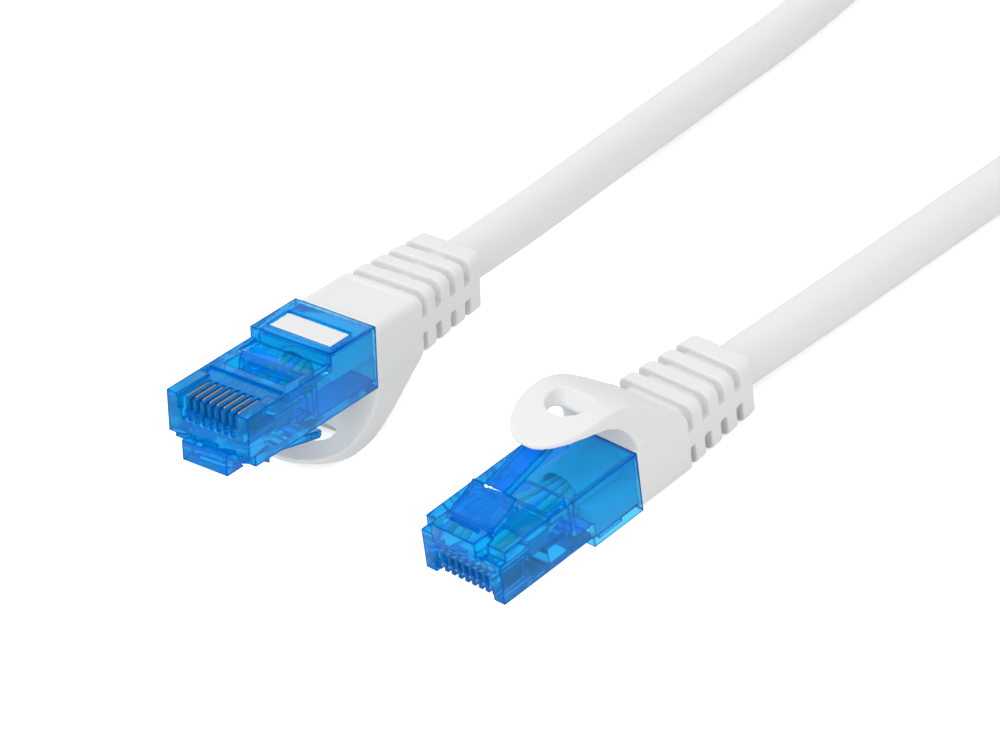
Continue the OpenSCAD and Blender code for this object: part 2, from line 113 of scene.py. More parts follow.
# Contact blades, and the bar that holds the wires behind them
CONTACT_PITCH = 1.02 * MM
CONTACT_FRONT = 1 * MM
CONTACT_LEN = 3.5 * MM
CONTACT_TOP = 0.42 * MM
CONTACT_BOTTOM = 3.03 * MM
CONTACT_T = 0.34 * MM
CONTACT_NOSE = 0.4 * MM
CONTACT_CROWN = 0.1 * MM
TOOTH_H = 0.6 * MM
TOOTH_STEPS = 6
BAR_EDGE = 0.08 * MM

# Cable
CABLE_D = 5.8 * MM
CABLE_R = CABLE_D / 2
COIL_CENTRE = Vector((149.5, -1.5, 0)) * MM
COIL_TURNS = 3.5
COIL_R = 24.8 * MM
COIL_STEP = 6.6 * MM
COIL_RISE = 6.6 * MM
COIL_BASE = CABLE_R + 0.8 * MM
COIL_CLIMB = 0.12
COIL_RINGS = 24

# Strap round the coil
TIE_W = 9 * MM
TIE_T = 0.7 * MM
TIE_CORNER = 2.35 * MM
CORNER_STEPS = 8
STATION_STEP = 1 * MM
BAND_STEPS = 8
SELVEDGE = 0.08 * MM
SELVEDGE_FROM = 0.3
LAP_INSET = 0.3 * MM
LAYER_GAP = 0.05 * MM
STITCH_ROWS = (5, 8)
STITCHES_A_SIDE = 5
STITCH_LIFT = 1.55
STITCH_STEP = 0.72 * MM
STITCH_SIZE = (0.09 * MM, 0.28 * MM, 0.07 * MM)

# Points of the two free stretches, from each boot to the coil, in metres
ROUTE_A = [
    (0.0245, 0.0191, 0.00735), (0.0365, 0.0207, 0.0058), (0.0485, 0.0225, 0.0044),
    (0.0605, 0.0238, 0.0034), (0.0735, 0.0245, 0.00295), (0.0865, 0.0248, 0.00295),
    (0.0995, 0.0261, 0.00295), (0.1125, 0.0283, 0.00295), (0.1245, 0.0311, 0.0031),
    (0.1355, 0.0333, 0.0035),
]
ROUTE_B = [
    (0.0315, -0.0173, 0.0033), (0.0435, -0.0177, 0.003), (0.0555, -0.0182, 0.00295),
    (0.0685, -0.0188, 0.00295), (0.0815, -0.0198, 0.0032), (0.0935, -0.0217, 0.0042),
    (0.1055, -0.025, 0.0058), (0.1175, -0.0295, 0.0076), (0.1285, -0.0338, 0.0092),
    (0.1365, -0.0363, 0.0101),
]

CAMERA_PLACE = (-0.294875, -0.328401, 0.326444)
CAMERA_TURN = (54.18182, 6.28050, -47.13375)
CAMERA_LENS = 175.434

# Lamps: name, place, the point that it faces, size and power
LAMPS = (
    ("key", (-0.3, 0.05, 0.8), (0, 0, 0), 0.7, 1.8),
    ("fill", (-0.1, -0.75, 0.45), (0, 0, 0), 0.7, 0.7),
    ("glint_back", (-0.2802, 0.4564, 0.5968), (-0.0123, -0.0173, 0.0104), 0.06, 0.8),
    ("glint_left", (-0.7, -0.05, 0.35), (-0.02, 0.014, 0.012), 0.08, 0.4),
)
ROOM_LIGHT = 0.8
FLOOR_GLOW = 0.5

# Slots and colours of the wires, in the order in which they lie in the plug
WIRE_COLOURS = (
    ("wire_white_orange", (0.92, 0.74, 0.60)), ("wire_orange", (0.92, 0.55, 0.30)),
    ("wire_white_green", (0.74, 0.88, 0.74)), ("wire_blue", (0.20, 0.42, 0.90)),
    ("wire_white_blue", (0.70, 0.82, 0.95)), ("wire_green", (0.28, 0.62, 0.42)),
    ("wire_white_brown", (0.82, 0.72, 0.64)), ("wire_brown", (0.50, 0.36, 0.29)),
)


# ---------------------------------------------------------------- settings


class PlugSettings(bpy.types.PropertyGroup):
    """What a user changes on the two plugs."""

    blue: bpy.props.FloatVectorProperty(
        name="Blue", description="Tint of the clear housings and latches",
        default=(0.008, 0.47, 1.0), size=3, subtype="COLOR", min=0, max=1)
    # Painted shade: the dark lines that refraction draws along the clear plastic's rounded edges, painted as a
    # dark diffuse blue
    painted_edge_shade: bpy.props.FloatVectorProperty(
        name="Edge blue", description="Deeper tint that the clear plastic has along its edges",
        default=(0.0, 0.10, 0.47), size=3, subtype="COLOR", min=0, max=1)
    gold: bpy.props.FloatVectorProperty(
        name="Gold", description="Colour of the contact blades",
        default=(0.29, 0.26, 0.19), size=3, subtype="COLOR", min=0, max=1)
    edge_radius: bpy.props.FloatProperty(
        name="Edge radius", description="Rounding of the housing's moulded edges",
        default=0.12 * MM, unit="LENGTH", min=0, max=0.3 * MM, precision=6)


class BootSettings(bpy.types.PropertyGroup):
    """What a user changes on the boots and their hooks."""

    grey: bpy.props.FloatVectorProperty(
        name="Grey", description="Colour of the soft boots",
        default=(0.745, 0.745, 0.745), size=3, subtype="COLOR", min=0, max=1)
    skin_cell: bpy.props.FloatProperty(
        name="Skin cell", description="Size of the cells that the boot's skin is drawn from",
        default=0.13 * MM, unit="LENGTH", min=0.1 * MM, max=0.4 * MM, precision=6)
    softening: bpy.props.IntProperty(
        name="Softening", description="Passes that round the boot's edges", default=12, min=0, max=40)


class CableSettings(bpy.types.PropertyGroup):
    """What a user changes on the cable and its strap."""

    grey: bpy.props.FloatVectorProperty(
        name="Grey", description="Colour of the cable's jacket",
        default=(0.755, 0.755, 0.755), size=3, subtype="COLOR", min=0, max=1)
    strap: bpy.props.FloatVectorProperty(
        name="Strap", description="Colour of the strap round the coil",
        default=(0.83, 0.83, 0.83), size=3, subtype="COLOR", min=0, max=1)


# ---------------------------------------------------------------- materials


def new_material(name):
    """A material with only a Principled shader; returns it, its nodes, its links and the shader."""
    material = bpy.data.materials.new(name)
    material.use_nodes = True
    tree = material.node_tree
    return material, tree.nodes, tree.links, tree.nodes["Principled BSDF"]


def add_pattern(nodes, links, kind, scale):
    """A noise or wave texture on the piece's own coordinates."""
    place = nodes.new("ShaderNodeTexCoord")
    pattern = nodes.new(kind)
    pattern.inputs["Scale"].default_value = scale
    links.new(place.outputs["Object"], pattern.inputs["Vector"])
    return pattern


def add_bump(nodes, links, shader, height, strength, depth):
    """Bump on the shader's normal, from a socket's height."""
    bump = nodes.new("ShaderNodeBump")
    bump.inputs["Strength"].default_value = strength
    bump.inputs["Distance"].default_value = depth
    links.new(height, bump.inputs["Height"])
    links.new(bump.outputs["Normal"], shader.inputs["Normal"])


def add_grain(nodes, links, shader, scale, strength, depth=0.02 * MM):
    """Fine moulded grain."""
    noise = add_pattern(nodes, links, "ShaderNodeTexNoise", scale)
    noise.inputs["Detail"].default_value = 4
    add_bump(nodes, links, shader, noise.outputs["Fac"], strength, depth)


def add_mottle(nodes, links, shader, low, high, scale):
    """Slow change of the roughness over the surface, between two values."""
    noise = add_pattern(nodes, links, "ShaderNodeTexNoise", scale)
    ramp = nodes.new("ShaderNodeMapRange")
    ramp.inputs["To Min"].default_value = low
    ramp.inputs["To Max"].default_value = high
    links.new(noise.outputs["Fac"], ramp.inputs["Value"])
    links.new(ramp.outputs["Result"], shader.inputs["Roughness"])


def larger(nodes, links, one, two):
    """The larger value of two sockets."""
    both = nodes.new("ShaderNodeMath")
    both.operation = "MAXIMUM"
    links.new(one, both.inputs[0])
    links.new(two, both.inputs[1])
    return both.outputs["Value"]


def mix_shaders(nodes, links, share, one, two):
    """One shader where the share is 0, the other where it is 1."""
    mix = nodes.new("ShaderNodeMixShader")
    links.new(share, mix.inputs["Fac"])
    links.new(one, mix.inputs[1])
    links.new(two, mix.inputs[2])
    return mix.outputs["Shader"]


def edge_share(nodes, links, width):
    """1 along a moulding's edges, where a rounded normal leaves the face's own, and 0 on its faces."""
    rounded = nodes.new("ShaderNodeBevel")
    rounded.inputs["Radius"].default_value = width
    face = nodes.new("ShaderNodeNewGeometry")
    turn = nodes.new("ShaderNodeVectorMath")
    turn.operation = "DOT_PRODUCT"
    links.new(rounded.outputs["Normal"], turn.inputs[0])
    links.new(face.outputs["True Normal"], turn.inputs[1])
    share = nodes.new("ShaderNodeMapRange")
    share.inputs["From Min"].default_value = 0.99
    share.inputs["From Max"].default_value = 0.9
    links.new(turn.outputs["Value"], share.inputs["Value"])
    return share.outputs["Result"]


def blue_polycarbonate(colour, edge_shade_colour):
    """Tinted clear plastic with painted shade along its edges, a dark diffuse blue for the dark lines that
    refraction draws there, that lets lamps and soft light in to what it holds.
    """
    material, nodes, links, shader = new_material("blue_polycarbonate")
    shader.inputs["Base Color"].default_value = (*colour, 1)
    shader.inputs["Roughness"].default_value = 0.03
    shader.inputs["IOR"].default_value = 1.22
    shader.inputs["Specular IOR Level"].default_value = 0.3
    shader.inputs["Transmission Weight"].default_value = 0.86
    add_grain(nodes, links, shader, scale=900, strength=0.05)
    # Painted shade along the edges: a dark diffuse blue mixed in where the edge mask is 1, for the dark refraction
    # lines of clear plastic
    painted_shade = nodes.new("ShaderNodeBsdfDiffuse")
    painted_shade.inputs["Color"].default_value = (*edge_shade_colour, 1)
    edges = edge_share(nodes, links, width=0.4 * MM)
    plastic = mix_shaders(nodes, links, edges, shader.outputs["BSDF"], painted_shade.outputs["BSDF"])
    way_in = nodes.new("ShaderNodeBsdfTransparent")
    way_in.inputs["Color"].default_value = (0.92, 0.95, 0.97, 1)
    path = nodes.new("ShaderNodeLightPath")
    soft_light = larger(nodes, links, path.outputs["Is Shadow Ray"], path.outputs["Is Diffuse Ray"])
    whole = mix_shaders(nodes, links, soft_light, plastic, way_in.outputs["BSDF"])
    links.new(whole, nodes["Material Output"].inputs["Surface"])
    return material


def clear_plastic():
    """Almost colourless plastic of the bars that hold the wires."""
    material, nodes, links, shader = new_material("clear_plastic")
    shader.inputs["Base Color"].default_value = (0.86, 0.92, 0.97, 1)
    shader.inputs["IOR"].default_value = 1.5
    shader.inputs["Transmission Weight"].default_value = 0.8
    add_mottle(nodes, links, shader, low=0.06, high=0.16, scale=700)
    return material


def gold_plating(colour):
    """Thin plating on stamped blades, a little uneven in its shine."""
    material, nodes, links, shader = new_material("gold_plating")
    shader.inputs["Base Color"].default_value = (*colour, 1)
    shader.inputs["Metallic"].default_value = 1
    add_mottle(nodes, links, shader, low=0.16, high=0.30, scale=1500)
    add_grain(nodes, links, shader, scale=4000, strength=0.1, depth=0.005 * MM)
    return material


def soft_rubber(name, colour, roughness, grain_scale, grain):
    """Pale soft plastic with a moulded or drawn skin, into which light goes a little way."""
    material, nodes, links, shader = new_material(name)
    shader.inputs["Base Color"].default_value = (*colour, 1)
    shader.inputs["IOR"].default_value = 1.45
    shader.inputs["Specular IOR Level"].default_value = 0.2
    shader.inputs["Subsurface Weight"].default_value = 0.15
    shader.inputs["Subsurface Radius"].default_value = (1, 0.95, 0.9)
    shader.inputs["Subsurface Scale"].default_value = 0.6 * MM
    add_mottle(nodes, links, shader, low=roughness - 0.05, high=roughness + 0.05, scale=250)
    add_grain(nodes, links, shader, scale=grain_scale, strength=grain, depth=0.01 * MM)
    return material


def jacket_skin(name, colour):
    """The cable's jacket, on the free cable and on its ends in the plugs."""
    return soft_rubber(name, colour, roughness=0.42, grain_scale=1800, grain=0.15)


def wire_insulation(name, colour):
    """Satin insulation of one wire."""
    material, nodes, links, shader = new_material(name)
    shader.inputs["Base Color"].default_value = (*colour, 1)
    add_mottle(nodes, links, shader, low=0.30, high=0.42, scale=900)
    return material


def woven_strap(colour):
    """Strap cloth: crossed waves for the weave, with slow changes of roughness."""
    material, nodes, links, shader = new_material("tie_strap")
    shader.inputs["Base Color"].default_value = (*colour, 1)
    shader.inputs["Sheen Weight"].default_value = 0.3
    heights = []
    for direction in "XYZ":
        wave = add_pattern(nodes, links, "ShaderNodeTexWave", 700)
        wave.bands_direction = direction
        heights.append(wave.outputs["Fac"])
    weave = heights[0]
    for height in heights[1:]:
        both = nodes.new("ShaderNodeMath")
        links.new(weave, both.inputs[0])
        links.new(height, both.inputs[1])
        weave = both.outputs["Value"]
    add_bump(nodes, links, shader, weave, strength=0.8, depth=0.08 * MM)
    add_mottle(nodes, links, shader, low=0.75, high=0.9, scale=300)
    return material


def paint(piece, material):
    """Gives a piece or CAD node one material."""
    piece.data.materials.clear()
    piece.data.materials.append(material)
    return piece


# ---------------------------------------------------------------- shapes


def place_of_plug(side):
    """The matrix from a plug's own frame to the whole part's, from its mount and its hook's joint."""
    mount = next(m for m in frame["record"]["mounts"] if m["name"] == f"plug_{side}")
    joint = next(j for j in frame["joints"] if j["name"] == f"hook_press_{side}")
    x = -Vector(mount["axis"]).normalized()
    y = -Vector(joint["axis"]).normalized()
    z = x.cross(y).normalized()
    origin = Vector(mount["pos_m"]) - z * BODY_H / 2
    turn = Matrix((x, y, z)).transposed().to_4x4()
    return Matrix.Translation(origin) @ turn


def new_piece(name, bm):
    """An object in the scene with the mesh that was drawn."""
    mesh = bpy.data.meshes.new(name)
    bm.to_mesh(mesh)
    bm.free()
    piece = bpy.data.objects.new(name, mesh)
    bpy.context.scene.collection.objects.link(piece)
    return piece


def apply_modifiers(piece):
    """Makes a piece's modifiers part of its mesh."""
    bpy.context.view_layer.update()
    seen = piece.evaluated_get(bpy.context.evaluated_depsgraph_get())
    mesh = bpy.data.meshes.new_from_object(seen)
    piece.modifiers.clear()
    piece.data = mesh
    return piece


def add_rod(bm, start, end, radius):
    """Closed cylinder between two points of the frame."""
    axis = end - start
    matrix = Matrix.Translation((start + end) / 2) @ axis.to_track_quat("Z", "Y").to_matrix().to_4x4()
    bmesh.ops.create_cone(bm, cap_ends=True, segments=48, radius1=radius, radius2=radius,
                          depth=axis.length, matrix=matrix)


def soften_edges(node, radius):
    """Joins a CAD node's faces and rounds its moulded edges, with modifiers only."""
    weld = node.modifiers.new("weld", "WELD")
    weld.merge_threshold = WELD_REACH
    flat = node.modifiers.new("flat", "DECIMATE")
    flat.decimate_type = "DISSOLVE"
    flat.angle_limit = math.radians(1)
    bevel = node.modifiers.new("edges", "BEVEL")
    bevel.width = radius
    bevel.segments = 2
    bevel.limit_method = "ANGLE"
    bevel.angle_limit = math.radians(35)
    bevel.harden_normals = True
    node.data.shade_smooth()


# ---------------------------------------------------------------- cable and strap


def coil_point(turn):
    """Point of the coil, which winds in, climbs over half a turn and winds out."""
    side = turn - COIL_TURNS / 2
    angle = math.pi / 2 - 2 * math.pi * turn
    radius = COIL_R + COIL_STEP * max(abs(side) - COIL_CLIMB, 0)
    share = min(max((side + COIL_CLIMB) / (2 * COIL_CLIMB), 0), 1)
    height = COIL_BASE + COIL_RISE * share * share * (3 - 2 * share)
    return COIL_CENTRE + Vector((radius * math.cos(angle), radius * math.sin(angle), height))


def cable_exit(side):
    """The point where the cable leaves a boot."""
    return place_of_plug(side) @ Vector((BOOT_END, 0, CABLE_OUT_Z))


def cable_path():
    """The whole free cable, from plug A's boot through the coil to plug B's."""
    turns = [coil_point(k / COIL_RINGS) for k in range(int(COIL_RINGS * COIL_TURNS) + 1)]
    lead = Vector((CABLE_D, 0, 0))
    coil = [turns[0] - lead] + turns + [turns[-1] - lead]
    to_coil = [cable_exit("a")] + [Vector(p) for p in ROUTE_A]
    from_coil = [Vector(p) for p in reversed(ROUTE_B)] + [cable_exit("b")]
    return to_coil + coil + from_coil


def draw_cable(points):
    """Round cable on one smooth curve through the points."""
    curve = bpy.data.curves.new("cable", "CURVE")
    curve.dimensions = "3D"
    curve.resolution_u = 5
    curve.bevel_depth = CABLE_R
    curve.bevel_resolution = 8
    curve.use_fill_caps = True
    spline = curve.splines.new("BEZIER")
    spline.bezier_points.add(len(points) - 1)
    for knot, point in zip(spline.bezier_points, points):
        knot.co = point
        knot.handle_left_type = knot.handle_right_type = "AUTO"
    cable = bpy.data.objects.new("cable", curve)
    bpy.context.scene.collection.objects.link(cable)
    return cable


class PATCH_OT_cable(bpy.types.Operator):
    bl_idname = "patch.cable"
    bl_label = "Lay the cable"

    def execute(self, context):
        points = cable_path()
        cable = draw_cable(points)
        paint(cable, jacket_skin("cable_jacket", context.scene.patch_cable.grey))
        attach(cable, "cord_set")
        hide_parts("cable_a", "coil", "cable_b")
        return {"FINISHED"}


def strap_stations(half_x, half_z, radius):
    """Points and outward directions round a rounded rectangle, from the middle of its underside."""
    stations = []
    corners = ((1, -1, -90), (1, 1, 0), (-1, 1, 90), (-1, -1, 180))
    for sx, sz, start in corners:
        for k in range(CORNER_STEPS + 1):
            angle = math.radians(start + 90 * k / CORNER_STEPS)
            out = Vector((math.cos(angle), 0, math.sin(angle)))
            centre = Vector((sx * (half_x - radius), 0, sz * (half_z - radius)))
            stations.append((centre + radius * out, out))
    dense = []
    for (p, u), (q, v) in zip(stations, stations[1:] + stations[:1]):
        steps = max(1, round((q - p).length / STATION_STEP))
        dense += [(p.lerp(q, k / steps), u.lerp(v, k / steps).normalized()) for k in range(steps)]
    return dense


def add_band(bm, stations, width, lift, closed):
    """Strip of cloth through stations, a little thicker along its two woven edges."""
    across = [k / BAND_STEPS - 0.5 for k in range(BAND_STEPS + 1)]
    rows = []
    for point, out in stations:
        rows.append([bm.verts.new(point + out * (lift + (SELVEDGE if abs(c) > SELVEDGE_FROM else 0))
                                  + Vector((0, c * width, 0))) for c in across])
    for one, two in zip(rows, rows[1:] + rows[:1] if closed else rows[1:]):
        for a, b, c, d in zip(one, one[1:], two[1:], two):
            bm.faces.new((a, b, c, d))


def sew_down(mesh, lap):
    """Adds rows of stitches across the lap's end."""
    bm = bmesh.new()
    bm.from_mesh(mesh)
    for row in STITCH_ROWS:
        point, out = lap[-row]
        turn = out.to_track_quat("Z", "Y").to_matrix().to_4x4()
        for k in range(-STITCHES_A_SIDE, STITCHES_A_SIDE + 1):
            spot = point + out * STITCH_LIFT * TIE_T + Vector((0, k * STITCH_STEP, 0))
            place = Matrix.Translation(spot) @ turn @ Matrix.Diagonal((*STITCH_SIZE, 1))
            bmesh.ops.create_icosphere(bm, subdivisions=2, radius=1, matrix=place)
    bm.to_mesh(mesh)
    bm.free()


def draw_strap():
    """Band once round the coil's two layers, and its end, which laps over half of it."""
    low, high = (Vector(corner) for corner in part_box("tie"))
    middle, half = (low + high) / 2, (high - low) / 2
    stations = strap_stations(half.x - TIE_T / 2, half.z - TIE_T / 2, TIE_CORNER)
    eighth = len(stations) // 8
    lap = stations[eighth:5 * eighth]
    bm = bmesh.new()
    add_band(bm, stations, TIE_W, 0, True)
    add_band(bm, lap, TIE_W - LAP_INSET, TIE_T, False)
    strap = new_piece("strap", bm)
    cloth = strap.modifiers.new("cloth", "SOLIDIFY")
    cloth.thickness = TIE_T - LAYER_GAP
    cloth.offset = 0
    strap.modifiers.new("round", "SUBSURF").levels = 1
    apply_modifiers(strap)
    sew_down(strap.data, lap)
    strap.data.transform(Matrix.Translation(middle))
    strap.data.shade_smooth()
    return strap


class PATCH_OT_strap(bpy.types.Operator):
    """Winds the strap round the coil, laps its end over it and sews it down"""

    bl_idname = "patch.strap"
    bl_label = "Wind the strap"

    def execute(self, context):
        strap = draw_strap()
        paint(strap, woven_strap(context.scene.patch_cable.strap))
        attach(strap, "cord_set")
        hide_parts("tie")
        return {"FINISHED"}


# ---------------------------------------------------------------- boots


def loft(bm, rings):
    """Closed solid through rings that have the same number of points."""
    rows = [[bm.verts.new(point) for point in ring] for ring in rings]
    for one, two in zip(rows, rows[1:]):
        for k, vertex in enumerate(one):
            bm.faces.new((one[k - 1], vertex, two[k], two[k - 1]))
    caps = [bm.faces.new(rows[0]), bm.faces.new(rows[-1])]
    faces = list({face for row in rows for vertex in row for face in vertex.link_faces} | set(caps))
    bmesh.ops.recalc_face_normals(bm, faces=faces)


def relief_edge(x):
    """Half width and top of the tapering strain relief at x."""
    start = PLUG_LEN + GROOVE_START
    share = (x - start) / (BOOT_END - start)
    return (RELIEF_HALF_W[0] + (RELIEF_HALF_W[1] - RELIEF_HALF_W[0]) * share,
            RELIEF_HIGH[0] + (RELIEF_HIGH[1] - RELIEF_HIGH[0]) * share)


def groove_outline(half, level, foot):
    """U shape round a core with rounded shoulders, open towards foot, as (y, z) points."""
    up = 1 if level > foot else -1
    radius, reach = RELIEF_ROUND, CUTTER_REACH
    points = [(reach, foot), (reach, up * reach), (-reach, up * reach), (-reach, foot), (-half, foot)]
    for side, start in ((-1, 180), (1, 90)):
        for k in range(7):
            angle = math.radians(start - 15 * k)
            points.append((side * (half - radius) + radius * math.cos(angle),
                           level + up * radius * (math.sin(angle) - 1)))
    points.append((half, foot))
    return points


def add_grooves(bm, place):
    """Solids that deepen the grooves round the strain relief."""
    for k in range(GROOVE_COUNT):
        x0 = PLUG_LEN + GROOVE_START + k * GROOVE_PITCH - GROOVE_SPARE
        x1 = x0 + GROOVE_W + 2 * GROOVE_SPARE
        half, top = relief_edge(x0)
        for level, foot in ((top - GROOVE_DEPTH, CABLE_IN_Z + WEB_H / 2),
                            (RELIEF_LOW + GROOVE_DEPTH, CABLE_IN_Z - WEB_H / 2)):
            outline = groove_outline(half - GROOVE_SIDE_DEPTH, level, foot)
            loft(bm, [[place @ Vector((x, y, z)) for y, z in outline] for x in (x0, x1)])


def add_edge_rounds(bm, place):
    """Solids that round the strain relief's four long edges."""
    radius = RELIEF_ROUND
    arc = [math.radians(11.25 * k) for k in range(9)]
    for side in (-1, 1):
        for up in (-1, 1):
            rings = []
            for x in (PLUG_LEN + GROOVE_START + GROOVE_W / 2, BOOT_END + MM):
                half, top = relief_edge(x)
                edge = top if up > 0 else -RELIEF_LOW
                ring = [(half + radius * (math.cos(t) - 1), edge + radius * (math.sin(t) - 1)) for t in arc]
                ring += [(half - radius, edge + MM), (half + MM, edge + MM), (half + MM, edge - radius)]
                rings.append([place @ Vector((x, side * y, up * z)) for y, z in ring])
            loft(bm, rings)


def relief_cutter(place):
    """What is cut from the strain relief: deeper grooves and its long edges."""
    bm = bmesh.new()
    add_grooves(bm, place)
    add_edge_rounds(bm, place)
    return new_piece("cutter", bm)


def bezier(t, points):
    """Point (x, z) of a cubic curve, in metres, from control points in millimetres."""
    shares = ((1 - t) ** 3, 3 * (1 - t) ** 2 * t, 3 * (1 - t) * t * t, t ** 3)
    return tuple(sum(share * point[i] for share, point in zip(shares, points)) * MM for i in (0, 1))


def hook_curve(points):
    """Points along one face of the hook, from its root to its tip."""
    return [bezier(k / HOOK_STEPS, points) for k in range(HOOK_STEPS + 1)]


def add_slice(bm, place, outline, half_w):
    """Solid with an outline in the plug's x and z, across the plug."""
    loft(bm, [[place @ Vector((x, y, z)) for x, z in outline] for y in (-half_w, half_w)])


def hook_root(place):
    """Soft web that closes the gap under the hook's root."""
    low, rise = COLLAR_TOP - ROOT_SINK, COLLAR_TOP + ROOT_RISE
    curve = hook_curve(HOOK_OUTER)
    outline = [(PLUG_LEN + ARCH_FOOT, low), (curve[0][0], low)]
    outline += [point for point in curve if point[1] < rise] + [(PLUG_LEN + ARCH_FOOT, rise)]
    bm = bmesh.new()
    add_slice(bm, place, outline, HOOK_ROOT_W / 2)
    return new_piece("root_block", bm)


def hole_opening(place):
    """The opening of the hook's hole, which widens upwards."""
    bm = bmesh.new()
    rings = []
    for middle, radius, rear, corner, z in HOLE_LEVELS:
        ring = [(middle + radius * math.cos(t), radius * math.sin(t))
                for t in (math.radians(90 + 10 * k) for k in range(19))]
        for side, start in ((-1, -90), (1, 0)):
            ring += [(rear - corner + corner * math.cos(t), side * (radius - corner) + corner * math.sin(t))
                     for t in (math.radians(start + 15 * k) for k in range(7))]
        rings.append([place @ (Vector((x, y, z)) * MM) for x, y in ring])
    loft(bm, rings)
    return new_piece("opening", bm)


def hole_lining(place):
    """Sloping lining of the hook's hole: the hook's section less the opening."""
    front, rear = LINING_ENDS
    upper, lower = ([point for point in hook_curve(points) if front < point[0] < rear]
                    for points in (HOOK_OUTER, HOOK_INNER))
    bm = bmesh.new()
    add_slice(bm, place, upper + lower[::-1], LINING_HALF_W)
    return cut_away(new_piece("lining", bm), hole_opening(place))


def cut_away(piece, cutter):
    """Cuts one solid from another and removes the cutter."""
    cut = piece.modifiers.new("cut", "BOOLEAN")
    cut.operation = "DIFFERENCE"
    cut.solver = "EXACT"
    cut.use_self = True
    cut.object = cutter
    apply_modifiers(piece)
    bpy.data.objects.remove(cutter)
    return piece


def draw_boot(side, settings):
    """One soft skin over a boot, its hook and the root that joins them."""
    place = place_of_plug(side)
    bm = bmesh.new()
    bm.from_mesh(frame["nodes"][f"boot_{side}"].data)
    boot = cut_away(new_piece("boot_block", bm), relief_cutter(place))
    bm = bmesh.new()
    bm.from_mesh(frame["nodes"][f"hook_{side}"].data)
    for part in (boot, hook_root(place), hole_lining(place)):
        bm.from_mesh(part.data)
        bpy.data.objects.remove(part)
    bore_start = place @ Vector((PLUG_LEN, 0, CABLE_IN_Z))
    bore_end = place @ Vector((BOOT_END - BORE_LIP, 0, CABLE_OUT_Z))
    add_rod(bm, bore_start, bore_end, CABLE_R + BORE_LIP)
    skin = new_piece(f"boot_skin_{side}", bm)
    remesh = skin.modifiers.new("skin", "REMESH")
    remesh.mode = "VOXEL"
    remesh.voxel_size = settings.skin_cell
    smooth = skin.modifiers.new("soft", "SMOOTH")
    smooth.factor = 0.5
    smooth.iterations = settings.softening
    apply_modifiers(skin)
    skin.data.shade_smooth()
    return skin


class PATCH_OT_boots(bpy.types.Operator):
    """Draws each boot and its hook as one soft moulding"""

    bl_idname = "patch.boots"
    bl_label = "Mould the boots"

    def execute(self, context):
        settings = context.scene.patch_boot
        rubber = soft_rubber("boot_rubber", settings.grey, roughness=0.7, grain_scale=1500, grain=0.2)
        for side in SIDES:
            skin = draw_boot(side, settings)
            paint(skin, rubber)
            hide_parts(f"boot_{side}", f"hook_{side}")
            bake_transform(skin)
        return {"FINISHED"}


# ---------------------------------------------------------------- plugs


class PATCH_OT_plugs(bpy.types.Operator):
    """Rounds and paints the housings and their latches"""

    bl_idname = "patch.plugs"
    bl_label = "Finish the plugs"

    def execute(self, context):
        settings = context.scene.patch_plug
        plastic = blue_polycarbonate(settings.blue, settings.painted_edge_shade)
        for side in SIDES:
            for name in ("housing", "latch"):
                node = frame["nodes"][f"{name}_{side}"]
                soften_edges(node, settings.edge_radius)
                paint(node, plastic)
        return {"FINISHED"}


def draw_blade(side, i):
    """Contact blade with a rounded nose, a crowned edge and teeth over its wire."""
    place = place_of_plug(side)
    end = CONTACT_FRONT + CONTACT_LEN
    outline = [(end, CONTACT_TOP), (end, CONTACT_BOTTOM - TOOTH_H)]
    for k in range(TOOTH_STEPS):
        outline.append((end - (k + 0.5) * CONTACT_LEN / TOOTH_STEPS, CONTACT_BOTTOM - TOOTH_H * (k % 2)))
    outline.append((CONTACT_FRONT, CONTACT_BOTTOM - TOOTH_H))
    for k in range(9):
        angle = math.pi / 2 * k / 8
        outline.append((CONTACT_FRONT + CONTACT_NOSE * (1 - math.cos(angle)),
                        CONTACT_TOP + CONTACT_NOSE * (1 - math.sin(angle))))
    y = (i - (COUNT + 1) / 2) * CONTACT_PITCH
    bm = bmesh.new()
    near, far = ([bm.verts.new(place @ Vector((x, y + half, z))) for x, z in outline]
                 for half in (-CONTACT_T / 2, CONTACT_T / 2))
    bm.faces.new(near)
    bm.faces.new(reversed(far))
    for k, vertex in enumerate(near):
        bm.faces.new((near[k - 1], far[k - 1], far[k], vertex))
    bmesh.ops.recalc_face_normals(bm, faces=bm.faces)
    blade = new_piece(f"blade_{side}{i}", bm)
    crown = blade.modifiers.new("crown", "BEVEL")
    crown.width = CONTACT_CROWN
    crown.segments = 3
    crown.angle_limit = math.radians(40)
    apply_modifiers(blade)
    blade.data.shade_smooth()
    return blade


class PATCH_OT_contacts(bpy.types.Operator):
    """Stamps and plates the sixteen contact blades"""

    bl_idname = "patch.contacts"
    bl_label = "Plate the contacts"

    def execute(self, context):
        plating = gold_plating(context.scene.patch_plug.gold)
        for side in SIDES:
            for i in range(1, COUNT + 1):
                blade = draw_blade(side, i)
                paint(blade, plating)
                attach(blade, "cord_set")
                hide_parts(f"contact_{side}{i}")
        return {"FINISHED"}


class PATCH_OT_wires(bpy.types.Operator):
    """Colours the wires, the bar that holds them and the end of the jacket"""

    bl_idname = "patch.wires"
    bl_label = "Colour the wires"

    def execute(self, context):
        coats = [wire_insulation(name, colour) for name, colour in WIRE_COLOURS]
        clear = clear_plastic()
        jacket = jacket_skin("jacket_end", context.scene.patch_cable.grey)
        for side in SIDES:
            for i, coat in enumerate(coats, 1):
                wire = frame["nodes"][f"wire_{side}{i}"]
                wire.modifiers.new("round", "WELD").merge_threshold = WELD_REACH
                paint(wire, coat)
            bar = frame["nodes"][f"load_bar_{side}"]
            soften_edges(bar, BAR_EDGE)
            paint(bar, clear)
            paint(frame["nodes"][f"jacket_end_{side}"], jacket)
        return {"FINISHED"}


# ---------------------------------------------------------------- stage


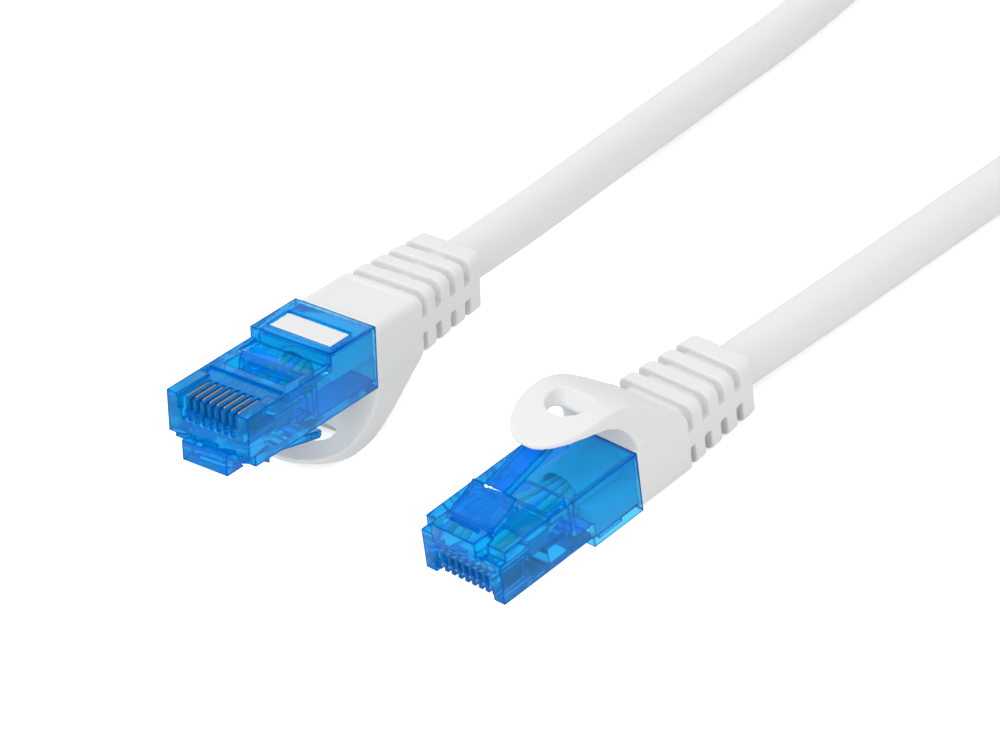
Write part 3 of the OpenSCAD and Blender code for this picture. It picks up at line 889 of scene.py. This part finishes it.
def add_lamp(name, place, target, size, power):
    """Square soft lamp that faces a point."""
    lamp = bpy.data.lights.new(name, "AREA")
    lamp.shape = "SQUARE"
    lamp.size = size
    lamp.energy = power
    holder = bpy.data.objects.new(name, lamp)
    holder.location = place
    aim = Vector(target) - Vector(place)
    holder.rotation_euler = aim.to_track_quat("-Z", "Y").to_euler()
    bpy.context.scene.collection.objects.link(holder)


def white_room(strength):
    """World that lights softly and shows white to the camera and in reflections."""
    world = bpy.data.worlds.new("room")
    bpy.context.scene.world = world
    world.use_nodes = True
    nodes, links = world.node_tree.nodes, world.node_tree.links
    backdrop = nodes["Background"]
    backdrop.inputs["Color"].default_value = (1, 1, 1, 1)
    path = nodes.new("ShaderNodeLightPath")
    seen = larger(nodes, links, path.outputs["Is Camera Ray"], path.outputs["Is Transmission Ray"])
    seen = larger(nodes, links, seen, path.outputs["Is Glossy Ray"])
    level = nodes.new("ShaderNodeMapRange")
    level.inputs["To Min"].default_value = strength
    level.inputs["To Max"].default_value = 1
    links.new(seen, level.inputs["Value"])
    links.new(level.outputs["Result"], backdrop.inputs["Strength"])


def floor_paint():
    """White floor that keeps the object's shadow."""
    material, nodes, links, shader = new_material("floor")
    shader.inputs["Base Color"].default_value = (0.9, 0.9, 0.9, 1)
    shader.inputs["Roughness"].default_value = 0.9
    shader.inputs["Specular IOR Level"].default_value = 0
    shader.inputs["Emission Color"].default_value = (1, 1, 1, 1)
    path = nodes.new("ShaderNodeLightPath")
    glow = nodes.new("ShaderNodeMapRange")
    glow.inputs["To Min"].default_value = 0
    glow.inputs["To Max"].default_value = FLOOR_GLOW
    links.new(path.outputs["Is Camera Ray"], glow.inputs["Value"])
    links.new(glow.outputs["Result"], shader.inputs["Emission Strength"])
    white = nodes.new("ShaderNodeEmission")
    mirrored = larger(nodes, links, path.outputs["Is Transmission Ray"], path.outputs["Is Glossy Ray"])
    whole = mix_shaders(nodes, links, mirrored, shader.outputs["BSDF"], white.outputs["Emission"])
    links.new(whole, nodes["Material Output"].inputs["Surface"])
    return material


class PATCH_OT_stage(bpy.types.Operator):
    """Sets up the camera, the floor and the lamps"""

    bl_idname = "patch.stage"
    bl_label = "Set the stage"

    def execute(self, context):
        lens = bpy.data.cameras.new("camera")
        lens.lens = CAMERA_LENS
        lens.clip_start = 0.01
        lens.clip_end = 10
        camera = bpy.data.objects.new("camera", lens)
        camera.location = CAMERA_PLACE
        camera.rotation_euler = [math.radians(a) for a in CAMERA_TURN]
        context.scene.collection.objects.link(camera)
        context.scene.camera = camera
        context.scene.view_settings.view_transform = "Standard"
        bm = bmesh.new()
        bmesh.ops.create_grid(bm, x_segments=8, y_segments=8, size=3)
        floor = new_piece("floor", bm)
        paint(floor, floor_paint())
        white_room(ROOM_LIGHT)
        for lamp in LAMPS:
            add_lamp(*lamp)
        return {"FINISHED"}


class PATCH_PT_panel(bpy.types.Panel):
    """Lists the steps that dress the cable"""

    bl_idname = "PATCH_PT_panel"
    bl_label = "Patch cable"
    bl_space_type = "VIEW_3D"
    bl_region_type = "UI"
    bl_category = "Patch cable"

    def draw(self, context):
        scene = context.scene
        for settings, names in ((scene.patch_plug, ("blue", "painted_edge_shade", "gold", "edge_radius")),
                                (scene.patch_boot, ("grey", "skin_cell", "softening")),
                                (scene.patch_cable, ("grey", "strap"))):
            for name in names:
                self.layout.prop(settings, name)
        for step in STEPS:
            self.layout.operator(step.bl_idname)


STEPS = (PATCH_OT_stage, PATCH_OT_strap, PATCH_OT_cable, PATCH_OT_boots, PATCH_OT_plugs, PATCH_OT_contacts,
         PATCH_OT_wires)
CLASSES = (PlugSettings, BootSettings, CableSettings, *STEPS, PATCH_PT_panel)
SETTINGS = {"patch_plug": PlugSettings, "patch_boot": BootSettings, "patch_cable": CableSettings}


def register():
    for cls in CLASSES:
        bpy.utils.register_class(cls)
    for name, group in SETTINGS.items():
        setattr(bpy.types.Scene, name, bpy.props.PointerProperty(type=group))


def unregister():
    for name in SETTINGS:
        delattr(bpy.types.Scene, name)
    for cls in reversed(CLASSES):
        bpy.utils.unregister_class(cls)


def main():
    register()
    bpy.ops.patch.stage()
    bpy.ops.patch.strap()
    bpy.ops.patch.cable()
    bpy.ops.patch.boots()
    bpy.ops.patch.plugs()
    bpy.ops.patch.contacts()
    bpy.ops.patch.wires()


if __name__ == "__main__":
    main()
